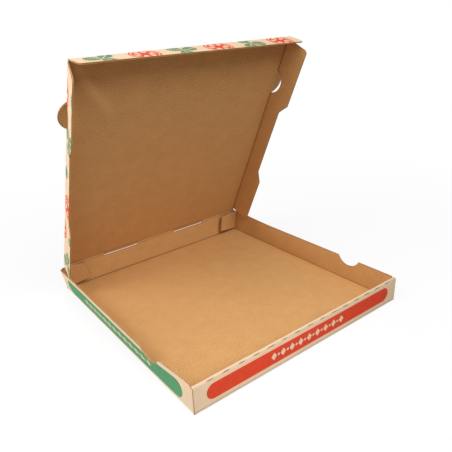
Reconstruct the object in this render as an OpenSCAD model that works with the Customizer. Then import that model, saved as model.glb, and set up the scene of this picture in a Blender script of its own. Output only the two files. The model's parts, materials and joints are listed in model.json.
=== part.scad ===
// Pizza box: one die-cut sheet of corrugated board, folded to a tray with a hinged lid.
// Millimetres. X to the right, Y to the back, Z up. The origin is the middle of the tray's underside.

/* [Board] */
// Thickness of the corrugated board
board = 1.6; // [1.2:0.1:2.4]
// Gap left between two folded layers
layer_gap = 0.15; // [0.1:0.05:0.3]

/* [Tray] */
// Outside width across the side walls
tray_w = 330; // [290:1:420]
// Outside depth from the front wall to the back wall
tray_d = 336; // [320:1:420]
// Height of the side walls along the board
side_h = 35.2; // [30:0.1:55]
// How much lower the rolled-over front wall is than the side walls
front_drop = 0.8; // [0:0.1:6]
// Outward lean of the left wall behind its front corner, in degrees
left_lean = 11; // [0:0.5:14]
// Length over which the left wall's lean builds up from the front
left_lean_run = 95; // [40:1:200]
// Outward lean of the right wall at its rear end, in degrees
right_lean = 8; // [0:0.5:12]
// Length over which the right wall's lean builds up to the rear
right_lean_run = 98; // [40:1:200]

/* [Front wall] */
// Length of each corner flap tucked inside the front wall
corner_flap_l = 70; // [30:1:110]
// Width of one locking tongue of the inner front panel
tongue_w = 50; // [20:1:80]
// Place of each locking tongue, from the middle of the box
tongue_place = 95; // [50:1:110]
// Length of one perforation cut along the front crease
dash_l = 10; // [4:0.5:14]
// Pitch of the perforation cuts
dash_pitch = 20.7; // [16:0.1:40]
// Depth of the perforation cuts
dash_depth = 0.8; // [0.3:0.1:1]

/* [Rear corner tabs] */
// Width of each rear corner tab
tab_w = 37; // [15:1:50]
// Gap between the tabs' highest corner and the closed lid
tab_lid_gap = 0.5; // [0.4:0.1:6]
// Bottom of each tab above the underside
tab_bottom = 3; // [2.5:0.5:8]
// Cut at the top of the tab beside its fold
tab_cut = 7; // [2:0.5:12]
// Angle of the left tab off the back wall, in degrees
left_tab_off = 4; // [1:0.5:12]
// Angle of the right tab off the back wall, in degrees
right_tab_off = 8; // [1:0.5:12]

/* [Lid] */
// Rise of the hinge crease over the height of the side walls
hinge_rise = 3.8; // [3.2:0.1:8]
// Angle of the lid from closed, in degrees
lid_open = 65; // [40:1:115]
// Gap between each folded side flap and the side wall
lid_side_gap = 1.4; // [1:0.1:4]
// Gap between the closed lid's front flap and the front wall
lid_front_gap = 3.1; // [2:0.1:8]
// Length of each slit along the hinge crease
slit_l = 58; // [20:1:70]
// Place of the left slit, from the middle of the box
left_slit_place = 69.5; // [45:0.5:100]
// Place of the right slit, from the middle of the box
right_slit_place = 60; // [45:0.5:100]
// Reach of the lid's lip into each slit
lip_l = 4; // [2:0.1:6]
// Gap between a lip's free edge and the wall below it
lip_gap = 0.8; // [0.4:0.1:2]

/* [Thumb tabs and notches] */
// Distance of the thumb tabs' middle from the lid's front
thumb_from_front = 68.5; // [45:0.5:80]
// Width of a thumb tab or notch at its straight side
thumb_w = 35; // [24:0.5:50]
// Depth of a thumb tab or notch
thumb_depth = 11.4; // [6:0.2:16]
// Gap round a thumb tab in its flap
thumb_gap = 0.4; // [0.2:0.1:1]

/* [Lid flaps] */
// Gap between the closed side flaps and the floor
flap_floor_gap = 1.2; // [0.8:0.1:6]
// How much less the side flap reaches down in its rear part
flap_rear_drop = 1.4; // [0:0.1:6]
// Depth of the recess in the side flap's free edge
flap_recess = 10.8; // [2:0.2:16]
// Distance of the recess from each end of the lid
recess_margin = 92; // [60:1:110]
// Length of the sloped step at each end of the recess
recess_step = 14.7; // [5:0.1:25]
// Gap between the hinge crease and the side flap's rear end at the fold
flap_rear_gap = 4.5; // [4.5:0.1:12]
// Slant of the side flap's rear end over its depth
flap_rear_slant = 7; // [7:0.5:14]
// Slant of the side flap's front end over its depth
flap_front_slant = 2.5; // [0:0.5:8]
// Gap between the side flap's front end and the front flap
flap_front_gap = 1.5; // [1:0.1:6]
// Radius of the side flap's front corner
flap_corner_r = 5; // [1:0.5:8]
// Gap between the closed front flap and the floor
front_flap_floor_gap = 11.4; // [2:0.2:20]
// Cut at each end of the front flap's free edge
front_flap_cut = 2.5; // [0.5:0.5:10]
// Lid angle at which the side flaps pass the tops of the side walls, in degrees
meet_open = 65; // [65:1:80]
// How much more than its wall's lean the left flap splays there, in degrees
left_splay_over = 2; // [-4:0.5:2]
// How much less than its wall's lean the right flap splays there, in degrees
right_splay_under = 2; // [2:0.5:8]
// Outward splay of the front flap there, in degrees
front_splay = 13; // [0:0.5:20]
// Inward tuck of the three flaps when the lid is closed, in degrees
flap_tuck = 2; // [0:0.5:5]

/* [Creases] */
// Radius of the bead of board on a crease's axis
bead_r = 0.4; // [0.3:0.05:0.6]
// Gap round the bead
bead_gap = 0.15; // [0.1:0.05:0.3]
// Steepest fold that a crease allows, in degrees
crease_fold = 100; // [96:1:120]

/* [Hidden] */
$fn = 64;

half = board / 2;
over = 1;
lean_sections = 14;
corner_steps = 6;

// Front wall
front_h = side_h - front_drop;
roll_w = 3 * board + 2 * layer_gap;
front_y = -tray_d / 2;
inner_half_w = tray_w / 2 - board - 2 * layer_gap;
dash_count = floor((tray_w - 2 * dash_l) / (2 * dash_pitch)) * 2 + 1;

// Hinge crease
hinge_y = tray_d / 2 - half;
hinge_h = side_h + hinge_rise;
slit_floor = hinge_h - lip_l - lip_gap;

// Side walls and rear corner tabs
wall_front_y = front_y + board + layer_gap;
rear_y = tray_d / 2 - board - layer_gap;
tab_top = (hinge_h - half - tab_lid_gap - tab_w * sin(left_lean)) / cos(left_lean);

// Lid
lid_w = tray_w - 2 * board - 2 * lid_side_gap;
lid_l = hinge_y - front_y - roll_w - lid_front_gap;
side_fold_x = lid_w / 2 - half;
front_fold = lid_l - half;

// Thumb tabs and notches
thumb_place = lid_l - thumb_from_front;
thumb_r = (pow(thumb_w / 2, 2) + pow(thumb_depth, 2)) / (2 * thumb_depth);
thumb_inset = thumb_r - thumb_depth;
thumb_half_fold = sqrt(pow(thumb_r, 2) - pow(thumb_inset - half, 2));
notch_y = hinge_y - thumb_place;

// Lid flaps
front_flap_h = hinge_h - board - front_flap_floor_gap;
flap_front_h = hinge_h - board - flap_floor_gap;
flap_rear_h = flap_front_h - flap_rear_drop;
flap_recess_h = flap_front_h - flap_recess;
flap_front_end = lid_l - board - flap_front_gap;

wedge_half_angle = (180 - crease_fold) / 2;

function smooth_step(t) = t <= 0 ? 0 : t >= 1 ? 1 : t * t * (3 - 2 * t);
function mix(a, b, t) = a + (b - a) * t;
function arc(centre, r, from, to) =
    [for (i = [0 : corner_steps])
        let (turn = mix(from, to, i / corner_steps))
        [centre.x + r * cos(turn), centre.y + r * sin(turn)]];

// Section of a side wall that leans outwards, in the right-hand wall's frame
function wall_section(y, lean, h) =
    let (foot = tray_w / 2, out = [cos(lean), -sin(lean)], up = [sin(lean), cos(lean)])
    [for (p = [[foot, 0], [foot, 0] + up * h, [foot, 0] + up * h - out * board, [foot, 0] - out * board])
        [p.x, y, p.y]];

// Lean of a side wall that starts upright at one place and reaches its full lean at another
function lean_at(y, lean, upright_y, full_y) = lean * smooth_step((y - upright_y) / (full_y - upright_y));

// Splay of a lid flap at the lid's angle, from its splay where the flaps pass the walls
function splay_of(full_splay) = (full_splay + flap_tuck) * lid_open / meet_open - flap_tuck;

// Closed skin over a list of four-cornered sections
module skin(sections) {
    last = len(sections) - 1;
    corners = [0, 1, 2, 3];
    sides = [for (i = [0 : last - 1], k = corners)
        let (a = 4 * i + k, b = 4 * i + (k + 1) % 4)
        each [[a, b, b + 4], [a, b + 4, a + 4]]];
    ends = [[3, 2, 1, 0], [for (k = corners) 4 * last + k]];
    polyhedron(points = [for (s = sections) each s], faces = concat(sides, ends), convexity = 4);
}

// Everything outside the wedge that a plate keeps beside a crease.
// The crease runs along Z and the plate lies on its +X side.
module crease_cutter(length) {
    reach = half + over;
    slope = reach / tan(wedge_half_angle);
    linear_extrude(length, center = true)
        polygon([[0, 0], [slope, reach], [-reach, reach], [-reach, -reach], [slope, -reach]]);
}

// Bead on a crease's axis, along Z
module bead(length) {
    cylinder(r = bead_r, h = length, center = true);
}

// Groove that a bead turns in, along Z
module bead_groove(length) {
    cylinder(r = bead_r + bead_gap, h = length, center = true);
}

// Places its children on a crease along X between two ends
module along_x(from, to) {
    translate([(from + to) / 2, 0, 0]) rotate([0, 90, 0]) children();
}

// Side wall on the right, with its thumb notch, rear corner tab and front corner flap
module side_wall(lean, upright_y, full_y, tab_off) {
    difference() {
        union() {
            skin([for (i = [0 : lean_sections])
                let (y = mix(wall_front_y, rear_y, i / lean_sections))
                wall_section(y, lean_at(y, lean, upright_y, full_y), side_h)]);
            corner_tab(lean, tab_off);
            front_corner_flap();
        }
        thumb_notch();
    }
}

// Half-round notch in the top of a right-hand side wall
module thumb_notch() {
    translate([tray_w / 2, notch_y, side_h + thumb_inset])
        rotate([0, 90, 0])
            cylinder(r = thumb_r, h = 4 * side_h, center = true);
}

// Tab folded in from the rear edge of a right-hand side wall, in front of the back wall
module corner_tab(lean, off) {
    outline = [[-half, tab_bottom], [tab_w, tab_bottom], [tab_w, tab_top],
        [tab_cut, tab_top], [-half, tab_top - tab_cut]];
    translate([tray_w / 2, rear_y - half, 0])
        rotate([0, lean, 0])
            translate([-half, 0, 0])
                rotate([0, 0, off])
                    mirror([1, 0, 0])
                        rotate([90, 0, 0])
                            linear_extrude(board, center = true)
                                polygon(outline);
}

// Flap folded in from the front edge of a right-hand side wall, held inside the front wall
module front_corner_flap() {
    translate([tray_w / 2 - corner_flap_l, wall_front_y, board + layer_gap])
        cube([corner_flap_l, board, front_h - 2 * board - 2 * layer_gap]);
}

// Front wall: outer panel, flat top and inner panel with its locking tongues
module front_wall() {
    difference() {
        union() {
            translate([-tray_w / 2, front_y, 0])
                cube([tray_w, board, front_h]);
            translate([-inner_half_w, front_y, front_h - board])
                cube([2 * inner_half_w, roll_w, board]);
            translate([-inner_half_w, front_y + roll_w - board, board + layer_gap])
                cube([2 * inner_half_w, board, front_h - board - layer_gap]);
            for (side = [-1, 1])
                translate([side * tongue_place - tongue_w / 2, front_y + roll_w - board, layer_gap])
                    cube([tongue_w, board, front_h / 2]);
        }
        for (i = [-(dash_count - 1) / 2 : (dash_count - 1) / 2])
            translate([i * dash_pitch - dash_l / 2, front_y - over, front_h - dash_depth])
                cube([dash_l, over + dash_depth, dash_depth + over]);
    }
}

// Floor with the slots that take the locking tongues
module floor_panel() {
    difference() {
        translate([-tray_w / 2, -tray_d / 2, 0])
            cube([tray_w, tray_d, board]);
        for (side = [-1, 1])
            translate([side * tongue_place - tongue_w / 2 - layer_gap,
                    front_y + roll_w - board - layer_gap, -over])
                cube([tongue_w + 2 * layer_gap, board + 2 * layer_gap, board + 2 * over]);
    }
}

// Back wall up to the hinge crease, cut lower at the two slits
module back_wall() {
    difference() {
        translate([-tray_w / 2, tray_d / 2 - board, 0])
            cube([tray_w, board, hinge_h]);
        translate([0, hinge_y, hinge_h])
            along_x(-tray_w / 2 - over, tray_w / 2 + over) {
                crease_cutter(tray_w + 2 * over);
                bead_groove(tray_w + 2 * over);
            }
        for (place = [-left_slit_place, right_slit_place])
            translate([place - slit_l / 2, tray_d / 2 - board - over, slit_floor])
                cube([slit_l, board + 2 * over, hinge_h]);
    }
}

module tray() {
    color("#b98a58") {
        floor_panel();
        back_wall();
        front_wall();
        side_wall(right_lean, rear_y - right_lean_run, rear_y, right_tab_off);
        mirror([1, 0, 0])
            side_wall(left_lean, wall_front_y, wall_front_y + left_lean_run, left_tab_off);
    }
}

// Puts its children, drawn closed about the hinge crease, at the lid's place
module at_lid() {
    translate([0, hinge_y, hinge_h])
        rotate([-lid_open, 0, 0])
            children();
}

// Flat outline of the lid panel with its thumb tabs and hinge lips
module lid_outline() {
    translate([-side_fold_x, -front_fold])
        square([2 * side_fold_x, front_fold]);
    for (side = [-1, 1])
        translate([side * (lid_w / 2 - thumb_inset), -thumb_place])
            circle(r = thumb_r);
    for (place = [-left_slit_place, right_slit_place])
        translate([place - slit_l / 2 + layer_gap, -board])
            square([slit_l - 2 * layer_gap, lip_l + board]);
}

// Stretches of the hinge crease between the slits, as pairs of ends
hinge_stretches = [
    [-side_fold_x, -left_slit_place - slit_l / 2],
    [-left_slit_place + slit_l / 2, right_slit_place - slit_l / 2],
    [right_slit_place + slit_l / 2, side_fold_x]];

// Stretches of a side crease behind and in front of the thumb tab, from the hinge
side_stretches = [
    [-over, thumb_place - thumb_half_fold],
    [thumb_place + thumb_half_fold, front_fold + over]];

module lid() {
    color("#b98a58") at_lid() {
        difference() {
            linear_extrude(board, center = true) lid_outline();
            for (s = hinge_stretches)
                along_x(s[0], s[1]) rotate([0, 0, -90]) crease_cutter(s[1] - s[0]);
            for (side = [0, 1], s = side_stretches)
                mirror([side, 0, 0])
                    translate([side_fold_x, -(s[0] + s[1]) / 2, 0])
                        rotate([90, 0, 180]) {
                            crease_cutter(s[1] - s[0]);
                            bead_groove(s[1] - s[0]);
                        }
            translate([0, -front_fold, 0])
                along_x(-lid_w, lid_w) rotate([0, 0, 90]) {
                    crease_cutter(2 * lid_w);
                    bead_groove(2 * lid_w);
                }
        }
        for (s = hinge_stretches)
            along_x(s[0] + half, s[1] - half) bead(s[1] - s[0] - board);
    }
}

// Outline of a side flap: distance from the hinge crease, then depth from its fold
side_flap_outline = concat(
    [[flap_rear_gap, 0], [flap_front_end, 0]],
    arc([flap_front_end - flap_front_slant - flap_corner_r, flap_front_h - flap_corner_r],
        flap_corner_r, 0, 90),
    [[lid_l - recess_margin, flap_front_h], [lid_l - recess_margin - recess_step, flap_recess_h],
        [recess_margin + recess_step, flap_recess_h], [recess_margin, flap_rear_h],
        [flap_rear_gap + flap_rear_slant, flap_rear_h]]);

// Side flap on the right, folded down square from the closed lid
module folded_side_flap() {
    difference() {
        rotate([90, 0, 90])
            linear_extrude(board, center = true)
                polygon([for (p = side_flap_outline) -p]);
        translate([0, -thumb_place, thumb_inset - half])
            rotate([0, 90, 0])
                cylinder(r = thumb_r + thumb_gap, h = 3 * board, center = true);
        translate([0, -lid_l / 2, 0])
            rotate([90, 90, 0])
                crease_cutter(2 * lid_l);
    }
    ends = [flap_rear_gap, thumb_place - thumb_half_fold - board,
        thumb_place + thumb_half_fold + board, flap_front_end];
    for (i = [0, 2])
        translate([0, -(ends[i] + ends[i + 1]) / 2, 0])
            rotate([90, 0, 0])
                bead(ends[i + 1] - ends[i]);
}

module lid_left_flap() {
    color("#c89a68") at_lid()
        mirror([1, 0, 0])
            translate([side_fold_x, 0, 0])
                rotate([0, -splay_of(left_lean + left_splay_over), 0])
                    folded_side_flap();
}

module lid_right_flap() {
    color("#c89a68") at_lid()
        translate([side_fold_x, 0, 0])
            rotate([0, -splay_of(right_lean - right_splay_under), 0])
                folded_side_flap();
}

module lid_front_flap() {
    front_half_w = lid_w / 2;
    color("#d8b083") at_lid()
        translate([0, -front_fold, 0])
            rotate([-splay_of(front_splay), 0, 0]) {
                difference() {
                    rotate([90, 0, 0])
                        linear_extrude(board, center = true)
                            polygon([[-front_half_w, 0], [front_half_w, 0],
                                [front_half_w, -front_flap_h + front_flap_cut],
                                [front_half_w - front_flap_cut, -front_flap_h],
                                [-front_half_w + front_flap_cut, -front_flap_h],
                                [-front_half_w, -front_flap_h + front_flap_cut]]);
                    along_x(-lid_w, lid_w) crease_cutter(2 * lid_w);
                }
                along_x(-front_half_w, front_half_w) bead(2 * front_half_w);
            }
}

tray();
lid();
lid_front_flap();
lid_left_flap();
lid_right_flap();
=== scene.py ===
import json
import math

import bmesh
import bpy
import numpy as np
from mathutils import Matrix, Vector


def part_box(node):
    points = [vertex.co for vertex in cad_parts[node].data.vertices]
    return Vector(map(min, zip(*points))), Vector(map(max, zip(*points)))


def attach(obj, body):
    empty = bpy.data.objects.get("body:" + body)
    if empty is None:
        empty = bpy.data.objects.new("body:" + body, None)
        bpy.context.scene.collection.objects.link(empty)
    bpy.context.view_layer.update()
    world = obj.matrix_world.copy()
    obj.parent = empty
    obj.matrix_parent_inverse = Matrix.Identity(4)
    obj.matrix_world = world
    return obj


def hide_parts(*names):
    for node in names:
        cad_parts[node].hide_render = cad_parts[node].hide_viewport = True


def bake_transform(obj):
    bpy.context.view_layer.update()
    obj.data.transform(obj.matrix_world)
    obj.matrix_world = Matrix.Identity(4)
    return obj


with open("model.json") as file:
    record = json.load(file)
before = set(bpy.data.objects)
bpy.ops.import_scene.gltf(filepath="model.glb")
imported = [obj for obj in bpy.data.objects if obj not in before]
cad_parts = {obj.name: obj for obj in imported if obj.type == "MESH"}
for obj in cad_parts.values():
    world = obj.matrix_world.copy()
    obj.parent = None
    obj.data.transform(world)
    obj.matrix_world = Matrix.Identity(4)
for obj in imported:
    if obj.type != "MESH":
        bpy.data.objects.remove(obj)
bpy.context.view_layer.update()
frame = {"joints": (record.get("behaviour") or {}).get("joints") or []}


# Floor and side walls
# The middle of one die-cut sheet of single-wall corrugated board, brown inside and cream outside.
# The walls are folded up along rolled creases, and their corner flaps and tabs are folded inwards.

MM = 0.001
BOARD = 1.6
HALF = BOARD / 2
HALF_WIDTH = 165.0
FLUTE_PITCH = 3.2
tray_low, tray_high = (np.array(corner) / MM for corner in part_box("tray"))
FRONT_FOLD = tray_low[1] + HALF
REAR_FOLD = tray_high[1] - HALF
SIDE_FOLD = HALF_WIDTH - HALF
FOLD_REACH = 1.4
WALL_TOP = SIDE_FOLD + 34.4
CORNER_FOLD = REAR_FOLD - 1.75
CORNER_REACH = 0.6
LEFT_LEAN, LEFT_LEAN_RUN = math.radians(11), 95.0
RIGHT_LEAN, RIGHT_LEAN_RUN = math.radians(8), 98.0
LEFT_TAB_OFF, RIGHT_TAB_OFF = math.radians(9), math.radians(9.5)
NOTCH_PLACE, NOTCH_RADIUS, NOTCH_INSET, NOTCH_OPENING = -91.3, 19.13, 7.73, 66.2


def paint(red, green, blue):
    """A colour as it is seen, from 0 to 255, as Blender's linear colour."""
    seen = (value / 255 for value in (red, green, blue))
    return tuple(v / 12.92 if v <= 0.04045 else ((v + 0.055) / 1.055) ** 2.4 for v in seen) + (1.0,)


def add(tree, kind, sockets=None, **settings):
    """Adds a node, with its settings, and fills its sockets with values or links."""
    node = tree.nodes.new(kind)
    for key, value in settings.items():
        setattr(node, key, value)
    for key, value in (sockets or {}).items():
        if isinstance(value, bpy.types.NodeSocket):
            tree.links.new(value, node.inputs[key])
        else:
            node.inputs[key].default_value = value
    return node


def calc(tree, operation, *values, clamp=False):
    return add(tree, "ShaderNodeMath", dict(enumerate(values)), operation=operation, use_clamp=clamp).outputs[0]


def mix_paint(tree, share, first, second):
    return add(tree, "ShaderNodeMix", {0: share, 6: first, 7: second}, data_type="RGBA").outputs[2]


def sheet_place(tree):
    """The place on the flat sheet in millimetres: across the flutes is v, along them is u."""
    uv = add(tree, "ShaderNodeUVMap", uv_map="sheet").outputs[0]
    flat = add(tree, "ShaderNodeVectorMath", {0: uv, "Scale": 1 / MM}, operation="SCALE").outputs[0]
    parts = add(tree, "ShaderNodeSeparateXYZ", {0: flat})
    return flat, parts.outputs[0], parts.outputs[1]


def grain(tree, flat, stretch, scale, detail=2.0, rough=0.55):
    """A noise over the sheet, stretched along u or v, from 0 to 1."""
    spread = add(tree, "ShaderNodeMapping", {"Vector": flat, "Scale": (stretch[0], stretch[1], 1)}).outputs[0]
    return add(tree, "ShaderNodeTexNoise", {"Vector": spread, "Scale": scale, "Detail": detail,
                                            "Roughness": rough}).outputs[0]


def span(tree, value, low, high, to_low=0.0, to_high=1.0):
    return add(tree, "ShaderNodeMapRange", {0: value, 1: low, 2: high, 3: to_low, 4: to_high}).outputs[0]


KRAFT, KRAFT_DARK, KRAFT_LIGHT = paint(224, 167, 101), paint(130, 83, 43), paint(236, 190, 131)
CREAM, CREAM_DARK, CREAM_LIGHT = paint(242, 213, 179), paint(202, 160, 115), paint(249, 231, 205)
PRESS_AND_SHADE = paint(92, 58, 32)
RIB_SHADE = 0.20


def liner(tree, base, dark, light, strength):
    """Paper colour with clouds, fibres, flecks and the faint ribs of the flutes in painted shade, darker at
    creases and cut edges, partly as pressed and crushed paper and partly as painted shade, pale along a painted
    highlight, and the height for its bump."""
    flat, u, v = sheet_place(tree)
    clouds = span(tree, grain(tree, flat, (1, 1), 0.04, 3), 0.35, 0.65)
    fibres = span(tree, grain(tree, flat, (0.7, 1.3), 0.88, 4, 0.7), 0.35, 0.65)
    threads = span(tree, grain(tree, flat, (1.4, 0.6), 0.9, 4, 0.7), 0.35, 0.65)
    pulp = span(tree, grain(tree, flat, (1, 1), 0.45, 3, 0.7), 0.35, 0.65)
    flecks = span(tree, grain(tree, flat, (1, 0.8), 0.9, 1), 0.68, 0.76)
    motes = span(tree, grain(tree, flat, (0.7, 1), 1.3, 1), 0.68, 0.76)
    rib = calc(tree, "SINE", calc(tree, "MULTIPLY", v, 2 * math.pi / FLUTE_PITCH))
    colour = base
    for mark, share, tint in ((clouds, 0.06, dark), (pulp, 0.27, dark), (fibres, 0.62, dark),
                              (threads, 0.68, light), (flecks, 0.55, dark), (motes, 0.40, light)):
        colour = mix_paint(tree, calc(tree, "MULTIPLY", mark, share * strength), colour, tint)
    patches = span(tree, grain(tree, flat, (1, 1), 0.05, 2), 0.35, 0.65, 0.25, 1.0)
    shaded = calc(tree, "MULTIPLY", span(tree, rib, -1, 1, 0, RIB_SHADE * strength), patches)
    colour = mix_paint(tree, shaded, colour, dark)
    # Creases and cut edges darken: partly the pressed and crushed paper's own tone, partly painted shade in the
    # creases and painted contact shade at the edges. The pale mark is a painted highlight.
    for name, share, tint in (("fold", 0.75 * strength, PRESS_AND_SHADE), ("rim", 0.92 * strength, PRESS_AND_SHADE),
                              ("bend_highlight", 0.75, light)):
        mark = add(tree, "ShaderNodeAttribute", attribute_name=name).outputs["Fac"]
        colour = mix_paint(tree, calc(tree, "MULTIPLY", mark, share), colour, tint)
    height = calc(tree, "ADD", calc(tree, "MULTIPLY", fibres, 0.12), calc(tree, "MULTIPLY", rib, 0.19))
    height = calc(tree, "SUBTRACT", height, calc(tree, "MULTIPLY", flecks, 0.15))
    return colour, height, u, v


def paper(name, tree_of_colour):
    """A matt paper material, from a function that gives its colour and its height."""
    material = bpy.data.materials.new(name)
    material.use_nodes = True
    tree = material.node_tree
    tree.nodes.clear()
    colour, height = tree_of_colour(tree)
    bump = add(tree, "ShaderNodeBump", {"Strength": 0.45, "Distance": 0.00025, "Height": height}).outputs[0]
    shader = add(tree, "ShaderNodeBsdfPrincipled", {"Base Color": colour, "Roughness": 0.88,
                                                    "Specular IOR Level": 0.18, "Normal": bump})
    add(tree, "ShaderNodeOutputMaterial", {0: shader.outputs[0]})
    return material


def kraft_colour(tree):
    return liner(tree, KRAFT, KRAFT_DARK, KRAFT_LIGHT, 1.0)[:2]


FLUTE_SWING, FLUTE_EDGE, SKIN_EDGE = 0.34, (0.10, 0.18), (0.33, 0.40)


def cut_edge_colour(tree):
    """The two liners, the waving sheet between them, and the hollows that it leaves, painted dark as painted
    shade. Its depths are shares of the board's thickness."""
    flat, _, v = sheet_place(tree)
    through = add(tree, "ShaderNodeAttribute", attribute_name="through").outputs["Fac"]
    wave = calc(tree, "SINE", calc(tree, "MULTIPLY", v, 2 * math.pi / FLUTE_PITCH))
    middle = calc(tree, "MULTIPLY_ADD", wave, FLUTE_SWING, 0.5)
    near = calc(tree, "ABSOLUTE", calc(tree, "SUBTRACT", through, middle))
    flute = span(tree, near, *FLUTE_EDGE, 1, 0)
    skin = span(tree, calc(tree, "ABSOLUTE", calc(tree, "SUBTRACT", through, 0.5)), *SKIN_EDGE)
    solid = calc(tree, "MAXIMUM", flute, skin)
    fuzz = grain(tree, flat, (1, 1), 1.4, 3, 0.7)
    colour = mix_paint(tree, fuzz, paint(236, 196, 146), paint(196, 144, 92))
    # The hollows get a flat dark brown: painted shade.
    return mix_paint(tree, solid, paint(146, 98, 56), colour), solid


CREAM_GRAIN = 0.55


def printed_liner(name, inks):
    """The cream outside liner with its printed fields: each ink is a function that gives its mask, its
    colour, and the deeper colour of its thick patches."""
    def colour_of(tree):
        colour, height, u, v = liner(tree, CREAM, CREAM_DARK, CREAM_LIGHT, CREAM_GRAIN)
        flat = sheet_place(tree)[0]
        cover = span(tree, grain(tree, flat, (0.5, 1.3), 1.3, 4, 0.75), 0.30, 0.48, 0.80, 1.0)
        tone = grain(tree, flat, (1, 1), 0.12, 3)
        for mask_of, ink, deep in inks:
            wet = mix_paint(tree, tone, ink, deep)
            colour = mix_paint(tree, calc(tree, "MULTIPLY", mask_of(tree, u, v), cover), colour, wet)
        return colour, height
    return paper(name, colour_of)


INK_EDGE = 0.2


def distance(tree, first, second):
    return calc(tree, "SQRT", calc(tree, "ADD", calc(tree, "MULTIPLY", first, first),
                                   calc(tree, "MULTIPLY", second, second)))


def printed_bar(tree, along, across, half_length, half_width):
    """A mask of a long bar with round ends."""
    beyond = calc(tree, "MAXIMUM", calc(tree, "SUBTRACT", calc(tree, "ABSOLUTE", along),
                                        half_length - half_width), 0.0)
    return span(tree, distance(tree, beyond, across), half_width - INK_EDGE, half_width + INK_EDGE, 1, 0)


def diamond_row(tree, along, across, half_length, pitch, half_height):
    """A mask of a row of diamonds with a dot between each two."""
    cell = calc(tree, "PINGPONG", along, pitch / 2)
    lean = calc(tree, "ADD", calc(tree, "DIVIDE", cell, 0.30 * pitch),
                calc(tree, "DIVIDE", calc(tree, "ABSOLUTE", across), half_height))
    diamond = span(tree, lean, 0.95, 1.03, 1, 0)
    side = calc(tree, "SUBTRACT", cell, pitch / 2)
    dot = span(tree, distance(tree, side, across), 0.11 * pitch, 0.13 * pitch, 1, 0)
    marks = calc(tree, "MAXIMUM", diamond, dot)
    inside = calc(tree, "LESS_THAN", calc(tree, "ABSOLUTE", along), half_length)
    return calc(tree, "MULTIPLY", marks, inside)


GREEN, GREEN_DEEP = paint(96, 160, 116), paint(78, 142, 98)
SIDE_BAND_MIDDLE, SIDE_BAND_HALF, SIDE_BAND_REACH = 15.8, 11.9, 148.0
SIDE_MARK_REACH, SIDE_MARK_HALF, MARK_PITCH = 90.0, 4.6, 14.0


def side_band(tree, u, v):
    across = calc(tree, "SUBTRACT", calc(tree, "ABSOLUTE", u), SIDE_FOLD + SIDE_BAND_MIDDLE)
    band = printed_bar(tree, v, across, SIDE_BAND_REACH, SIDE_BAND_HALF)
    marks = diamond_row(tree, v, across, SIDE_MARK_REACH, MARK_PITCH, SIDE_MARK_HALF)
    return calc(tree, "SUBTRACT", band, marks, clamp=True)


kraft_inside = paper("kraft_inside", kraft_colour)
cut_edge = paper("cut_edge", cut_edge_colour)
side_print = printed_liner("side_print", [(side_band, GREEN, GREEN_DEEP)])


def crease(run, angle, reach):
    """Where the board's middle lies at a distance run past a rounded crease: how far ahead, and how far up."""
    angle = np.broadcast_to(angle, run.shape)
    radius = reach / np.tan(angle / 2)
    turn = np.clip((run + reach) / (2 * reach), 0, 1) * angle
    before, after = np.minimum(run + reach, 0), np.maximum(run - reach, 0)
    ahead = before - reach + radius * np.sin(turn) + after * np.cos(angle)
    return ahead, radius * (1 - np.cos(turn)) + after * np.sin(angle)


def ease(value):
    value = np.clip(value, 0, 1)
    return value * value * (3 - 2 * value)


def arc(centre, radius, first, last, steps=14):
    angles = np.radians(np.linspace(first, last, steps + 1))
    return [(centre[0] + radius * math.cos(a), centre[1] + radius * math.sin(a)) for a in angles]


CREASE_CLEAR = 3.2


def grid_lines(low, high, step, creases=(), reach=FOLD_REACH):
    """Lines to cut a sheet at: evenly spaced, and close together at each crease."""
    lines = [p for p in np.linspace(low, high, int((high - low) / step) + 2)[1:-1]
             if all(abs(p - c) > CREASE_CLEAR for c in creases)]
    for c in creases:
        lines += [c + reach * k for k in (-2.2, -1, -0.6, -0.3, 0, 0.3, 0.6, 1, 2.2)]
    return sorted(lines)


RIM_WIDTH, SHADE_RIM_FADE = 0.65, 0.8
CREASE_WIDTH, CREASE_SHADE_WIDTH, CREASE_PRESS = 0.8, 1.15, 0.22


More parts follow.
